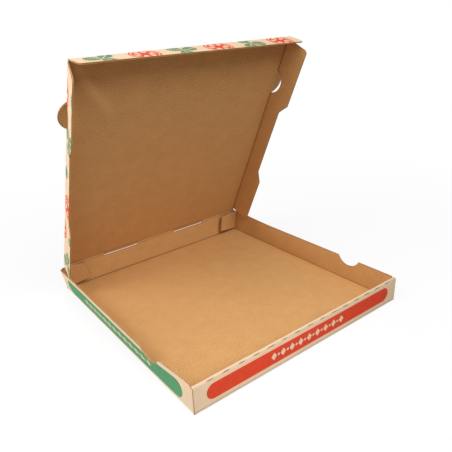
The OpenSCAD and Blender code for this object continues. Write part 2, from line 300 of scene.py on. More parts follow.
def fold_board(name, outline, lines_u, lines_v, bend, creases, outside, windows=(), bend_highlight=None,
               shaded_rim=None):
    """A piece of board: a flat outline, cut at the lines, with the windows taken out, then bent. Its inner
    liner, outer liner and cut edges are one closed skin. A dark rim runs along its cut edges, partly the
    crushed edges' tone and partly painted contact shade; where the last argument picks a place, the rim is
    wider, as painted shade from the gap behind a tab."""
    sheet = bmesh.new()
    sheet.faces.new([sheet.verts.new((u, v, 0)) for u, v in outline])
    bmesh.ops.recalc_face_normals(sheet, faces=sheet.faces)
    for face in sheet.faces:
        if face.normal.z < 0:
            face.normal_flip()
    rim_layer = sheet.verts.layers.float.new("rim")
    middle_face, = sheet.faces
    # Where the last argument picks a place, the dark rim is kept full across the first inset: painted shade for a
    # gap.
    for width in (RIM_WIDTH, SHADE_RIM_FADE):
        bmesh.ops.inset_region(sheet, faces=[middle_face], thickness=width, use_boundary=True,
                               use_even_offset=True)
        for vertex in middle_face.verts:
            dark = width == RIM_WIDTH and shaded_rim is not None and shaded_rim(vertex.co.x, vertex.co.y)
            vertex[rim_layer] = float(dark)
    for axis, lines in (((1, 0, 0), lines_u), ((0, 1, 0), lines_v)):
        for line in lines:
            bmesh.ops.bisect_plane(sheet, geom=sheet.verts[:] + sheet.edges[:] + sheet.faces[:], dist=1e-5,
                                   plane_co=Vector(axis) * line, plane_no=axis)
    inside_window = [f for f in sheet.faces
                     if any(a < f.calc_center_median().x < b and c < f.calc_center_median().y < d
                            for a, b, c, d in windows)]
    bmesh.ops.delete(sheet, geom=inside_window, context="FACES")
    bmesh.ops.triangulate(sheet, faces=[f for f in sheet.faces if len(f.verts) > 4])
    sheet.verts.index_update()
    flat = np.array([v.co[:2] for v in sheet.verts])
    # The rim mark is full at every cut edge and fades inwards: partly crushed-edge tone, partly painted contact
    # shade.
    rim = np.array([1.0 if v.is_boundary else v[rim_layer] for v in sheet.verts])
    cells = [[v.index for v in f.verts] for f in sheet.faces]
    rims = [(loop.vert.index, loop.link_loop_next.vert.index)
            for f in sheet.faces for loop in f.loops if len(loop.edge.link_faces) == 1]
    sheet.free()

    u, v, step = flat[:, 0], flat[:, 1], 0.01
    along_u = bend(u + step, v) - bend(u - step, v)
    along_v = bend(u, v + step) - bend(u, v - step)
    inward = np.cross(along_u, along_v)
    inward /= np.linalg.norm(inward, axis=1)[:, None]
    # Each crease gives a soft band that thins the board and darkens the outer liner, and a flat-topped band that
    # darkens the inner liner: partly the pressed score line's tone, partly painted shade in the crease.
    fold, crease_shade = np.zeros(len(u)), np.zeros(len(u))
    for axis, line, depth in creases:
        away = flat[:, axis] - line
        fold = np.maximum(fold, depth * np.exp(-(away / CREASE_WIDTH) ** 2))
        crease_shade = np.maximum(crease_shade, depth * np.exp(-(away / CREASE_SHADE_WIDTH) ** 4))
    skin = inward * (HALF * (1 - CREASE_PRESS * fold))[:, None]
    middle = bend(u, v)
    points = np.vstack([middle + skin, middle - skin]) * MM
    count = len(u)
    faces = cells + [[i + count for i in reversed(c)] for c in cells]
    faces += [[a, a + count, b + count, b] for a, b in rims]
    kinds = [0] * len(cells) + [1] * len(cells) + [2] * len(rims)

    mesh = bpy.data.meshes.new(name)
    mesh.from_pydata(points.tolist(), [], faces)
    for material in (kraft_inside, outside, cut_edge):
        mesh.materials.append(material)
    mesh.polygons.foreach_set("material_index", kinds)
    mesh.polygons.foreach_set("use_smooth", [True] * len(faces))
    corners = np.zeros(len(mesh.loops), np.int32)
    mesh.loops.foreach_get("vertex_index", corners)
    mesh.uv_layers.new(name="sheet").data.foreach_set("uv", (np.vstack([flat, flat])[corners] * MM).ravel())
    bend_highlit = np.zeros(count) if bend_highlight is None else bend_highlight(u, v)
    for label, inner, outer in (("through", np.zeros(count), np.ones(count)), ("fold", crease_shade, fold),
                                ("rim", rim, rim), ("bend_highlight", bend_highlit, np.zeros(count))):
        values = np.concatenate([inner, outer])
        mesh.attributes.new(label, "FLOAT", "POINT").data.foreach_set("value", values)
    rim_edges = {frozenset(pair) for a, b in rims for pair in ((a, b), (a + count, b + count))}
    mesh.attributes.new("sharp_edge", "BOOLEAN", "EDGE").data.foreach_set(
        "value", [frozenset(e.vertices) in rim_edges for e in mesh.edges])
    mesh.update()
    piece = bpy.data.objects.new(name, mesh)
    bpy.context.scene.collection.objects.link(piece)
    return piece


WALL_START = 0.9


def floor_and_sides(u, v):
    """Floor at rest on the table, side walls with their lean, corner flaps at the front, tabs at the rear."""
    hand, end = np.where(u < 0, -1.0, 1.0), np.where(v < 0, -1.0, 1.0)
    along = np.clip(v, -CORNER_FOLD, CORNER_FOLD)
    lean = np.where(hand < 0, LEFT_LEAN * ease((along + CORNER_FOLD) / LEFT_LEAN_RUN),
                    RIGHT_LEAN * ease((along - CORNER_FOLD + RIGHT_LEAN_RUN) / RIGHT_LEAN_RUN))
    ahead, lift = crease(np.abs(u) - SIDE_FOLD, math.pi / 2 - lean, FOLD_REACH)
    place = np.column_stack([hand * (SIDE_FOLD + ahead), v, HALF + lift])
    swing = np.where(end < 0, 0.0, np.where(hand < 0, LEFT_TAB_OFF, RIGHT_TAB_OFF))
    past, inwards = crease(np.abs(v) - CORNER_FOLD, math.pi / 2 + swing, CORNER_REACH)
    on_wall = np.abs(u) > SIDE_FOLD + WALL_START
    place[on_wall, 1] = (end * (CORNER_FOLD + past))[on_wall]
    place[on_wall, 0] -= (hand * np.cos(lean) * inwards)[on_wall]
    place[on_wall, 2] += (np.sin(lean) * inwards)[on_wall]
    return place


FLOOR_END = REAR_FOLD - FOLD_REACH
TONGUE_PLACE, TONGUE_WIDTH = 95.0, 50.0
CORNER_FLAP_LENGTH, CORNER_FLAP_LOW, CORNER_FLAP_TOP = 69.0, 1.2, 32.4
CORNER_FLAP_CUT = (4.0, 5.0)
STEP_START, STEP_END = 2.6, 3.4
TAB_TOP, TAB_LOW, TAB_CORNER, TAB_START, TAB_FOOT = 37.5, 2.6, 2.6, 34.0, 2.2
SHOULDER_START, SHOULDER_END, SHOULDER_RISE, SHOULDER_DROP = 4.0, 11.5, 13.0, 1.3
LEFT_TAB_LENGTH, RIGHT_TAB_LENGTH = 37.5, 41.0


def wall_outline(lean, tab_length):
    """The right edge of the sheet: corner flap, wall top with its notch, and a tab whose top ends level
    behind a low shoulder that clears the closed lid's side flap."""
    def tab_rise(out):
        return (TAB_TOP - out * math.sin(lean)) / math.cos(lean)

    low, top = SIDE_FOLD + CORNER_FLAP_LOW, SIDE_FOLD + CORNER_FLAP_TOP
    flap_end = -CORNER_FOLD - CORNER_FLAP_LENGTH
    cut_across, cut_along = CORNER_FLAP_CUT
    side = [(low, -FLOOR_END), (low, flap_end + cut_along), (low + cut_across, flap_end),
            (top - cut_across, flap_end), (top, flap_end + cut_along), (top, -CORNER_FOLD - CORNER_REACH),
            (top, -CORNER_FOLD + STEP_START), (WALL_TOP, -CORNER_FOLD + STEP_END)]
    side += arc((WALL_TOP + NOTCH_INSET, NOTCH_PLACE), NOTCH_RADIUS, 180 + NOTCH_OPENING, 180 - NOTCH_OPENING)
    side += [(WALL_TOP, CORNER_FOLD + CORNER_REACH), (SIDE_FOLD + TAB_START, CORNER_FOLD + CORNER_REACH)]
    side += [(SIDE_FOLD + tab_rise(out) - drop, CORNER_FOLD + out) for out, drop in (
        (SHOULDER_START, SHOULDER_DROP), (SHOULDER_END, SHOULDER_DROP), (SHOULDER_RISE, 0.0))]
    last = CORNER_FOLD + tab_length - TAB_CORNER
    side += arc((SIDE_FOLD + tab_rise(tab_length) - TAB_CORNER, last), TAB_CORNER, 10, 90, 5)
    side += arc((SIDE_FOLD + TAB_LOW + TAB_CORNER, last), TAB_CORNER, 90, 180, 5)
    return side + [(SIDE_FOLD + TAB_FOOT, CORNER_FOLD + CORNER_REACH), (low, FLOOR_END)]


# The right tab's wider dark rim is painted shade, for the gap between the tab and the back wall.
def on_right_tab(u, v):
    return u > 0 and v > CORNER_FOLD + 2.0


tray_outline = wall_outline(RIGHT_LEAN, RIGHT_TAB_LENGTH)
tray_outline += [(-u, v) for u, v in reversed(wall_outline(LEFT_LEAN, LEFT_TAB_LENGTH))]
SLOT_INSET, SLOT_PLAY, SLOT_HALF = 3.5, 0.4, 0.95
slot_rear, slot_front = FRONT_FOLD + SLOT_INSET + SLOT_HALF, FRONT_FOLD + SLOT_INSET - SLOT_HALF
slot_reach = TONGUE_WIDTH / 2 + SLOT_PLAY
floor_slots = [(hand * TONGUE_PLACE - slot_reach, hand * TONGUE_PLACE + slot_reach, slot_front, slot_rear)
               for hand in (-1, 1)]
slot_lines_u = [edge for slot in floor_slots for edge in slot[:2]]
SIDE_CREASES = [(0, -SIDE_FOLD, 0.9), (0, SIDE_FOLD, 0.9), (1, CORNER_FOLD, 0.9)]
floor_board = fold_board(
    "floor_and_side_walls", tray_outline,
    sorted(grid_lines(-WALL_TOP, WALL_TOP, 8, (-SIDE_FOLD, SIDE_FOLD)) + slot_lines_u),
    sorted(grid_lines(-CORNER_FOLD, CORNER_FOLD, 8, (-CORNER_FOLD, CORNER_FOLD), CORNER_REACH)
           + [slot_front, slot_rear]),
    floor_and_sides, SIDE_CREASES, side_print, floor_slots, shaded_rim=on_right_tab)
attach(floor_board, "tray")
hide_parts("tray")


# Front wall
# The sheet's front end, folded up, over a narrow flat top and down again inside the tray.
# Two tongues at its free edge lock it in the floor's slots, and a perforated line marks the top fold.

PANEL_RISE = 32.8
TOP_STRIP = 3.5
TOP_REACH = 0.9
INNER_DROP = 31.5
TONGUE_DROP = 1.9
ROLL_TOP_HALF, ROLL_HALF, ROLL_END_HALF = 165.1, 162.8, 160.0
TONGUE_TAPER = 2.4
FRONT_BAND_MIDDLE, FRONT_BAND_HALF, FRONT_BAND_REACH = 17.7, 10.0, 149.0
FRONT_MARK_REACH, FRONT_MARK_HALF = 61.0, 5.2
DARK_LINE_RISE = 2.7
RED, RED_DEEP = paint(232, 74, 42), paint(218, 62, 34)


def front_roll(u, v):
    """Up from the floor, over the narrow top, and down inside the tray."""
    run = FRONT_FOLD - v
    ahead, lift = crease(run, np.pi / 2, FOLD_REACH)
    outer = np.column_stack([u, FRONT_FOLD - ahead, HALF + lift])
    top = HALF + PANEL_RISE
    ahead, lift = crease(run - PANEL_RISE, np.pi / 2, TOP_REACH)
    over = np.column_stack([u, FRONT_FOLD + lift, top + ahead])
    ahead, lift = crease(run - PANEL_RISE - TOP_STRIP, np.pi / 2, TOP_REACH)
    inner = np.column_stack([u, FRONT_FOLD + TOP_STRIP + ahead, top - lift])
    place = np.where((run > PANEL_RISE / 2)[:, None], over, outer)
    return np.where((run > PANEL_RISE + TOP_STRIP / 2)[:, None], inner, place)


def front_band(tree, u, v):
    across = calc(tree, "ADD", v, FRONT_BAND_MIDDLE - FRONT_FOLD)
    band = printed_bar(tree, u, across, FRONT_BAND_REACH, FRONT_BAND_HALF)
    marks = diamond_row(tree, u, across, FRONT_MARK_REACH, MARK_PITCH, FRONT_MARK_HALF)
    return calc(tree, "SUBTRACT", band, marks, clamp=True)


def dark_line_above_fold(tree, u, v):
    """A thin darker line just above the floor's fold."""
    away = calc(tree, "ABSOLUTE", calc(tree, "ADD", v, DARK_LINE_RISE - FRONT_FOLD))
    return span(tree, away, 0.25, 0.75, 0.55, 0)


front_print = printed_liner("front_print", [(front_band, RED, RED_DEEP), (dark_line_above_fold, CREAM_DARK, KRAFT_DARK)])
inner_fold = FRONT_FOLD - PANEL_RISE - TOP_STRIP
roll_end = inner_fold - INNER_DROP
front_outline = [(-HALF_WIDTH, -FLOOR_END), (HALF_WIDTH, -FLOOR_END), (ROLL_TOP_HALF, inner_fold + 0.2),
                 (ROLL_HALF, inner_fold - 1.0), (ROLL_HALF, roll_end + 3.0), (ROLL_END_HALF, roll_end)]
for hand in (1, -1):
    for edge in (0.5, -0.5):
        tongue_u = hand * TONGUE_PLACE + edge * TONGUE_WIDTH
        tongue_tip = [(tongue_u, roll_end), (tongue_u - edge * TONGUE_TAPER, roll_end - TONGUE_DROP)]
        front_outline += tongue_tip if edge > 0 else tongue_tip[::-1]
front_outline += [(-u, v) for u, v in reversed(front_outline[2:6])]
front_creases = [FRONT_FOLD, FRONT_FOLD - PANEL_RISE, inner_fold]
front_lines_v = sorted(
    grid_lines(FRONT_FOLD - PANEL_RISE + 3, -FLOOR_END, 8, front_creases[:1])
    + [c + TOP_REACH * k for c in front_creases[1:] for k in (-1, -0.5, 0, 0.5, 1)]
    + [roll_end + step for step in (24.0, 16.0, 8.0)])
front_board = fold_board("front_wall", front_outline, grid_lines(-HALF_WIDTH, HALF_WIDTH, 8), front_lines_v,
                         front_roll, [(1, c, 0.8) for c in front_creases], front_print)
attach(front_board, "tray")

DASH_COUNT, DASH_PITCH, DASH_LENGTH, DASH_WIDTH = 15, 20.7, 10.0, 0.8
DASH_START, DASH_LIFT, DASH_SEED = -143.5, 0.05, 7


def dash_colour(tree):
    place = add(tree, "ShaderNodeTexCoord").outputs["Object"]
    fuzz = add(tree, "ShaderNodeTexNoise", {"Vector": place, "Scale": 900.0, "Detail": 3.0}).outputs[0]
    return mix_paint(tree, fuzz, paint(62, 38, 20), paint(118, 80, 46)), fuzz


def row_tree(name, **inputs):
    """A new node tree with the named inputs, each of the kind given, and what it is given."""
    tree = bpy.data.node_groups.new(name, "GeometryNodeTree")
    for label, kind in inputs.items():
        tree.interface.new_socket(label, in_out="INPUT", socket_type="NodeSocket" + kind)
    tree.interface.new_socket("Geometry", in_out="OUTPUT", socket_type="NodeSocketGeometry")
    return tree, tree.nodes.new("NodeGroupInput").outputs


def place_row(tree, places, shape, turn, size, material):
    """Ends a node tree: the shape at each place, made real, with its material."""
    row = add(tree, "GeometryNodeInstanceOnPoints", {"Points": places, "Instance": shape, "Rotation": turn,
                                                     "Scale": size}).outputs[0]
    made = add(tree, "GeometryNodeRealizeInstances", {0: row}).outputs[0]
    made = add(tree, "GeometryNodeSetMaterial", {"Geometry": made, "Material": material}).outputs[0]
    add(tree, "NodeGroupOutput", {0: made})


def chance(tree, low, high, seed):
    """A random vector for each place, between two."""
    return add(tree, "FunctionNodeRandomValue", {0: low, 1: high, "Seed": seed},
               data_type="FLOAT_VECTOR").outputs[0]


dash_material = paper("perforation_shadow", dash_colour)
dashes, given = row_tree("front_perforation", Count="Int", Pitch="Float", Length="Float", Width="Float",
                         Start="Vector", Seed="Int")
step = add(dashes, "ShaderNodeCombineXYZ", {"X": given["Pitch"]}).outputs[0]
places = add(dashes, "GeometryNodeMeshLine", {"Count": given["Count"], "Start Location": given["Start"],
                                              "Offset": step}).outputs[0]
slit = add(dashes, "GeometryNodeMeshCircle", {"Vertices": 14, "Radius": 0.5}, fill_type="NGON").outputs[0]
length_drift = add(dashes, "FunctionNodeRandomValue", {2: 0.86, 3: 1.10, "Seed": given["Seed"]},
                   data_type="FLOAT").outputs[1]
long_side = add(dashes, "ShaderNodeMath", {0: given["Length"], 1: length_drift}, operation="MULTIPLY").outputs[0]
slit_size = add(dashes, "ShaderNodeCombineXYZ", {"X": long_side, "Y": given["Width"], "Z": 1.0}).outputs[0]
slit_turn = chance(dashes, (0.72, 0.0, -0.012), (0.86, 0.0, 0.012), given["Seed"])
place_row(dashes, places, slit, slit_turn, slit_size, dash_material)


def from_nodes(name, tree, values):
    """Runs a node tree with the given inputs and keeps its result as a plain mesh."""
    carrier = bpy.data.objects.new(name + "_maker", bpy.data.meshes.new(name + "_maker"))
    bpy.context.scene.collection.objects.link(carrier)
    maker = carrier.modifiers.new("maker", "NODES")
    maker.node_group = tree
    for item in tree.interface.items_tree:
        if item.in_out == "INPUT":
            maker[item.identifier] = values[item.name]
    bpy.context.view_layer.update()
    mesh = bpy.data.meshes.new_from_object(carrier.evaluated_get(bpy.context.evaluated_depsgraph_get()))
    carrier.modifiers.remove(maker)
    bpy.data.objects.remove(carrier)
    piece = bpy.data.objects.new(name, mesh)
    mesh.name = name
    bpy.context.scene.collection.objects.link(piece)
    return piece


top_edge = (HALF + PANEL_RISE - TOP_REACH) + (TOP_REACH + HALF) * math.sin(math.radians(45)) + DASH_LIFT
front_edge = (FRONT_FOLD + TOP_REACH) - (TOP_REACH + HALF) * math.cos(math.radians(45)) - DASH_LIFT
dash_row = from_nodes("front_perforation", dashes, {
    "Count": DASH_COUNT, "Pitch": DASH_PITCH * MM, "Length": DASH_LENGTH * MM, "Width": DASH_WIDTH * MM,
    "Start": (DASH_START * MM, front_edge * MM, top_edge * MM), "Seed": DASH_SEED})
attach(dash_row, "tray")


# Back wall
# The sheet runs on behind the floor, up to the lid's crease. Two slits along that crease ease the bend,
# and leave open slots with cut edges below the lid.

HINGE_Y, HINGE_Z = (value / MM for value in frame["joints"][0]["pos_m"][1:])
BACK_RISE = HINGE_Z - HALF
CREASE_SHARE = 3.0
SLITS = [(-98.5, -40.5), (31.0, 89.0)]
SLIT_FLOOR = BACK_RISE - 4.8
EAR_INNER, EAR_RISE, EAR_CUT, BACK_CUT = 162.0, 2.6, (0.8, 1.0), 1.5
LID_SIDE = 161.2
HINGE_V = REAR_FOLD + BACK_RISE


def back_wall(u, v):
    ahead, lift = crease(v - REAR_FOLD, np.pi / 2, FOLD_REACH)
    return np.column_stack([u, REAR_FOLD + ahead, HALF + lift])


plain_print = printed_liner("cream_liner", [])
back_top = REAR_FOLD + BACK_RISE - CREASE_SHARE
ear_top = back_top + EAR_RISE
back_outline = [(-HALF_WIDTH, FLOOR_END), (HALF_WIDTH, FLOOR_END), (HALF_WIDTH, ear_top - EAR_CUT[1]),
                (HALF_WIDTH - EAR_CUT[0], ear_top), (EAR_INNER, ear_top), (EAR_INNER, back_top)]
for left, right in reversed(SLITS):
    back_outline += [(right, back_top), (right, REAR_FOLD + SLIT_FLOOR), (left, REAR_FOLD + SLIT_FLOOR),
                     (left, back_top)]
back_outline += [(-HALF_WIDTH + BACK_CUT, back_top), (-HALF_WIDTH, back_top - BACK_CUT)]
back_board = fold_board("back_wall", back_outline, grid_lines(-HALF_WIDTH, HALF_WIDTH, 8),
                        grid_lines(FLOOR_END, back_top, 8, (REAR_FOLD,)), back_wall,
                        [(1, REAR_FOLD, 0.9)], plain_print)
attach(back_board, "tray")


# Lid
# The top panel, joined to the back wall by the crease between the slits, with a half-round thumb tab
# on each side that stays in its plane when the flaps are folded down.

OPEN = math.radians(65)
ALONG = np.array([0.0, -math.cos(OPEN), math.sin(OPEN)])
OUTWARD = np.array([0.0, math.sin(OPEN), math.cos(OPEN)])
HINGE = np.array([0.0, HINGE_Y, HINGE_Z])
LID_FRONT = 326.2
MARGIN = 2.2
HINGE_REACH = 1.2
THUMB_ALONG, THUMB_RADIUS, THUMB_CENTRE = 258.5, 19.13, 154.27
LEFT_OVER_REAR, LEFT_OVER_FRONT, FLAP_REAR = 2.4, 0.3, 2.6
LEG_LEFT, LEG_RIGHT = LID_SIDE + 1.6, LID_SIDE + 0.4
SLIT_ROOF, FLAP_GAP = 2.0, 0.2
BOW, RIPPLE, RIPPLE_WAVES = 0.9, 0.25, 2.5
BUCKLE, BUCKLE_EDGE, BUCKLE_WIDTH = 1.7, 7.0, 45.0
STREAK_LENGTH, STREAK_WIDTH = 120.0, 5.5
MOTIF_PITCH = 52.0


def lid_point(u, along, down=0.0):
    """A point on the lid's plane, or below it, in the frame."""
    return HINGE + np.column_stack([u, 0 * u, 0 * u]) + np.outer(along, ALONG) - np.outer(down + 0 * u, OUTWARD)


def left_over(along):
    """How far the lid's left crease lies outside its right one's mirror image, as the sheet was creased askew."""
    return LEFT_OVER_REAR + (LEFT_OVER_FRONT - LEFT_OVER_REAR) * np.clip(along / LID_FRONT, 0, 1)


def corner_bend(u, along):
    """The soft diagonal bend at the lid's left front corner: how strong it is at a point, and how far off it
    the point lies."""
    inset, back = u + LID_SIDE, LID_FRONT - along
    down_streak, off_streak = 0.6 * inset + 0.8 * back, 0.8 * inset - 0.6 * back
    fade = ease(down_streak / 18) * ease((STREAK_LENGTH - down_streak) / 95) * ease(np.minimum(inset, back) / 8)
    return fade, off_streak


def lid_bend_highlight(u, v):
    """How strongly a painted highlight lightens the inner liner along the bend."""
    fade, off_streak = corner_bend(u, v - HINGE_V)
    return fade * np.exp(-(off_streak / STREAK_WIDTH) ** 2)


def lid_panel(u, v):
    """Up the back wall, round the hinge crease, and out along the lid with a slight bow."""
    along = v - HINGE_V
    ahead, lift = crease(along, math.pi / 2 - OPEN, HINGE_REACH)
    up, forward = np.array([0, 0, 1.0]), np.array([0, -1.0, 0])
    place = HINGE + np.column_stack([u, 0 * u, 0 * u]) + np.outer(ahead, up) + np.outer(lift, forward)
    far = np.clip(along / LID_FRONT, 0, 1)
    bow = np.sin(np.pi * far) * np.cos(np.pi * np.clip(u / (2 * LID_SIDE), -0.5, 0.5))
    rise = BOW * bow + RIPPLE * np.sin(2 * np.pi * far * RIPPLE_WAVES) * bow
    fade, off_streak = corner_bend(u, along)
    swell = 0.5 + 0.5 * np.tanh(off_streak / BUCKLE_EDGE)
    swell *= np.exp(-(np.maximum(off_streak, 0) / BUCKLE_WIDTH) ** 2)
    return place + np.outer(rise + BUCKLE * fade * swell, OUTWARD)


def motif_cell(tree, u, v):
    """Place inside a staggered cell: radius and angle, and whether the cell's colour is the first one."""
    row = calc(tree, "FLOOR", calc(tree, "DIVIDE", v, MOTIF_PITCH))
    shift = calc(tree, "MULTIPLY", calc(tree, "MODULO", row, 2.0), MOTIF_PITCH / 2)
    column = calc(tree, "FLOOR", calc(tree, "DIVIDE", calc(tree, "ADD", u, shift), MOTIF_PITCH))
    x = calc(tree, "SUBTRACT", calc(tree, "ADD", u, shift),
             calc(tree, "MULTIPLY", calc(tree, "ADD", column, 0.5), MOTIF_PITCH))
    y = calc(tree, "SUBTRACT", v, calc(tree, "MULTIPLY", calc(tree, "ADD", row, 0.5), MOTIF_PITCH))
    cell = add(tree, "ShaderNodeCombineXYZ", {"X": column, "Y": row}).outputs[0]
    turn = add(tree, "ShaderNodeTexWhiteNoise", {"Vector": cell}, noise_dimensions="3D").outputs[0]
    radius = distance(tree, x, y)
    angle = calc(tree, "MULTIPLY_ADD", turn, 2 * math.pi, calc(tree, "ARCTAN2", y, x))
    pair = calc(tree, "FLOOR", calc(tree, "DIVIDE", row, 2.0))
    odd = calc(tree, "MODULO", calc(tree, "ABSOLUTE", calc(tree, "ADD", column, pair)), 2.0)
    return radius, angle, calc(tree, "GREATER_THAN", odd, 0.5)


SLICE_RADIUS = 18.8
SLICE_RING, SLICE_RING_HALF = 15.9, 0.8
POCKET_MIDDLE, POCKET_HALF, POCKET_OPENING = 9.4, 3.6, 0.62


def red_slices(tree, u, v):
    """Round slices with a rim and six pockets."""
    radius, angle, first = motif_cell(tree, u, v)
    disc = span(tree, radius, SLICE_RADIUS - INK_EDGE, SLICE_RADIUS + INK_EDGE, 1, 0)
    ring = calc(tree, "COMPARE", radius, SLICE_RING, SLICE_RING_HALF)
    spokes = calc(tree, "ABSOLUTE", calc(tree, "SINE", calc(tree, "MULTIPLY", angle, 3.0)))
    wedge = calc(tree, "GREATER_THAN", spokes, POCKET_OPENING)
    pocket = calc(tree, "MULTIPLY", wedge, calc(tree, "COMPARE", radius, POCKET_MIDDLE, POCKET_HALF))
    shape = calc(tree, "SUBTRACT", calc(tree, "SUBTRACT", disc, ring), pocket, clamp=True)
    return calc(tree, "MULTIPLY", shape, first)


LEAF_LENGTH, LEAF_ROUNDNESS, VEIN_HALF = 21.0, 0.75, 0.8
LEAF_RIB_PACE, LEAF_RIB_SLANT, LEAF_RIB_CUT = 1.9, -9.0, -0.90


def green_leaves(tree, u, v):
    """Sprigs of three broad leaves, each with a vein."""
    radius, angle, first = motif_cell(tree, u, v)
    swing = calc(tree, "MULTIPLY", angle, 1.5)
    ahead = calc(tree, "ABSOLUTE", calc(tree, "COSINE", swing))
    aside = calc(tree, "ABSOLUTE", calc(tree, "SINE", swing))
    lobe = calc(tree, "MULTIPLY", calc(tree, "POWER", ahead, LEAF_ROUNDNESS), LEAF_LENGTH)
    leaf = span(tree, calc(tree, "SUBTRACT", radius, lobe), -INK_EDGE, INK_EDGE, 1, 0)
    vein = calc(tree, "LESS_THAN", calc(tree, "MULTIPLY", aside, radius), VEIN_HALF)
    rib_wave = calc(tree, "SINE", calc(tree, "ADD", calc(tree, "MULTIPLY", radius, LEAF_RIB_PACE),
                                       calc(tree, "MULTIPLY", aside, LEAF_RIB_SLANT)))
    lines = calc(tree, "MAXIMUM", vein, calc(tree, "LESS_THAN", rib_wave, LEAF_RIB_CUT))
    shape = calc(tree, "SUBTRACT", leaf, lines, clamp=True)
    return calc(tree, "MULTIPLY", shape, calc(tree, "SUBTRACT", 1.0, first))


LEAF_GREEN_DEEP = paint(40, 110, 74)
lid_print = printed_liner("lid_print", [(red_slices, RED, RED_DEEP), (green_leaves, GREEN_DEEP, LEAF_GREEN_DEEP)])
leg_end = HINGE_V - CREASE_SHARE
leg_top = HINGE_V + FLAP_REAR - FLAP_GAP
panel_front = HINGE_V + LID_FRONT - MARGIN
edge = LID_SIDE - MARGIN
left_edge = -edge - LEFT_OVER_REAR
lid_outline = [(-LEG_LEFT, leg_end)]
for left, right in SLITS:
    lid_outline += [(left, leg_end), (left, HINGE_V + SLIT_ROOF), (right, HINGE_V + SLIT_ROOF), (right, leg_end)]
lid_outline += [(LEG_RIGHT, leg_end), (LEG_RIGHT, leg_top), (edge, leg_top)]
thumb_right = math.degrees(math.acos((edge - THUMB_CENTRE) / THUMB_RADIUS))
lid_outline += arc((THUMB_CENTRE, HINGE_V + THUMB_ALONG), THUMB_RADIUS, -thumb_right, thumb_right, 24)
lid_outline += [(edge, panel_front), (-edge - LEFT_OVER_FRONT, panel_front)]
thumb_left = math.degrees(math.acos((edge + left_over(THUMB_ALONG) - THUMB_CENTRE) / THUMB_RADIUS))
lid_outline += arc((-THUMB_CENTRE, HINGE_V + THUMB_ALONG), THUMB_RADIUS, 180 - thumb_left, 180 + thumb_left, 24)
lid_outline += [(left_edge, leg_top), (-LEG_LEFT, leg_top)]
# The lid's inner liner gets a painted highlight along its corner bend.
lid_board = fold_board("lid_panel", lid_outline, grid_lines(left_edge, edge, 5),
                       grid_lines(leg_end, panel_front, 5, (HINGE_V,), HINGE_REACH),
                       lid_panel, [(1, HINGE_V, 0.2)], lid_print, bend_highlight=lid_bend_highlight)
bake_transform(lid_board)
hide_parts("lid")

LIP_LENGTH, LIP_GAP, LIP_CUT = 4.35, 0.3, 0.8


def lid_plane(u, v):
    return lid_point(u, v - HINGE_V)


for place, (left, right) in zip(("left", "right"), SLITS):
    start, end, root, tip = left + LIP_GAP, right - LIP_GAP, HINGE_V - 1.0, HINGE_V - LIP_LENGTH
    lip_outline = [(left, HINGE_V + SLIT_ROOF), (start, root), (start + LIP_CUT, tip), (end - LIP_CUT, tip),
                   (end, root), (right, HINGE_V + SLIT_ROOF)]
    lip = fold_board("lid_lip_" + place, lip_outline, grid_lines(left, right, 8), [HINGE_V, root],
                     lid_plane, [], lid_print)
    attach(lip, "lid")


# Lid flaps
# Three panels folded down from the lid along its front and sides. The side flaps keep a half-round hole
# where the thumb tab was cut free, and a long recess in the free edge that clears the tray's walls.

FLAP_FRONT_DEPTH, FLAP_REAR_DEPTH, FLAP_RECESS_DEPTH = 36.2, 34.8, 25.4
FLAP_END, FLAP_HOLE_RADIUS = 323.9, 19.53
FLAP_FRONT_CORNER, FLAP_FRONT_SLANT, FLAP_REAR_CORNER = 5.0, 7.2, 2.0
RECESS_FRONT, RECESS_REAR = (236.2, 219.0), (108.0, 90.8)
LEFT_REAR_CUT, RIGHT_REAR_CUT = 8.5, 6.5
FRONT_FLAP_DEPTH, FRONT_FLAP_HALF, FRONT_FLAP_CUT = 26.0, 162.0, 2.5
FRONT_FLAP_SPLAY, FRONT_FLAP_TWIST, FRONT_FLAP_SHIFT = math.radians(13), math.radians(3.5), 1.4
LEFT_SPLAY, LEFT_TWIST, RIGHT_SPLAY = math.radians(10.5), math.radians(5.6), math.radians(6)

hole_angle = math.degrees(math.acos((edge - THUMB_CENTRE) / FLAP_HOLE_RADIUS))


def side_flap_outline(rear_corner):
    """One side flap on the flat sheet, from the lid's edge outwards, with its rear end cut on a slant."""
    side = [(edge, FLAP_REAR)] + arc((THUMB_CENTRE, THUMB_ALONG), FLAP_HOLE_RADIUS, -hole_angle, hole_angle, 24)
    side += [(edge, FLAP_END), (LID_SIDE, FLAP_END)]
    front, recess, rear = (LID_SIDE + depth for depth in (FLAP_FRONT_DEPTH, FLAP_RECESS_DEPTH, FLAP_REAR_DEPTH))
    side += arc((front - FLAP_FRONT_CORNER, FLAP_END - FLAP_FRONT_SLANT), FLAP_FRONT_CORNER, 85, 0, 6)
    side += [(front, RECESS_FRONT[0]), (front - 0.8, RECESS_FRONT[0] - 1.6),
             (recess + 0.8, RECESS_FRONT[1] + 2.2), (recess, RECESS_FRONT[1]),
             (recess, RECESS_REAR[0]), (recess + 0.8, RECESS_REAR[0] - 2.2),
             (rear - 0.8, RECESS_REAR[1] + 1.8), (rear, RECESS_REAR[1])]
    side += arc((rear - FLAP_REAR_CORNER, rear_corner + FLAP_REAR_CORNER), FLAP_REAR_CORNER, 0, -80, 4)
    return side + [(LID_SIDE + FOLD_REACH, FLAP_REAR + 2.2), (LID_SIDE, FLAP_REAR)]


def side_flap(hand, over, splay, twist):
    """A bend for one side flap, with a splay that grows by the twist towards its front end."""
    def bend(u, v):
        along = v - HINGE_V
        fold_place = LID_SIDE + over(along)
        out = splay + twist * ease(along / LID_FRONT)
        ahead, down = crease(hand * u - LID_SIDE, math.pi / 2 - out, FOLD_REACH)
        return lid_point(hand * (fold_place + ahead), along, down)
    return bend


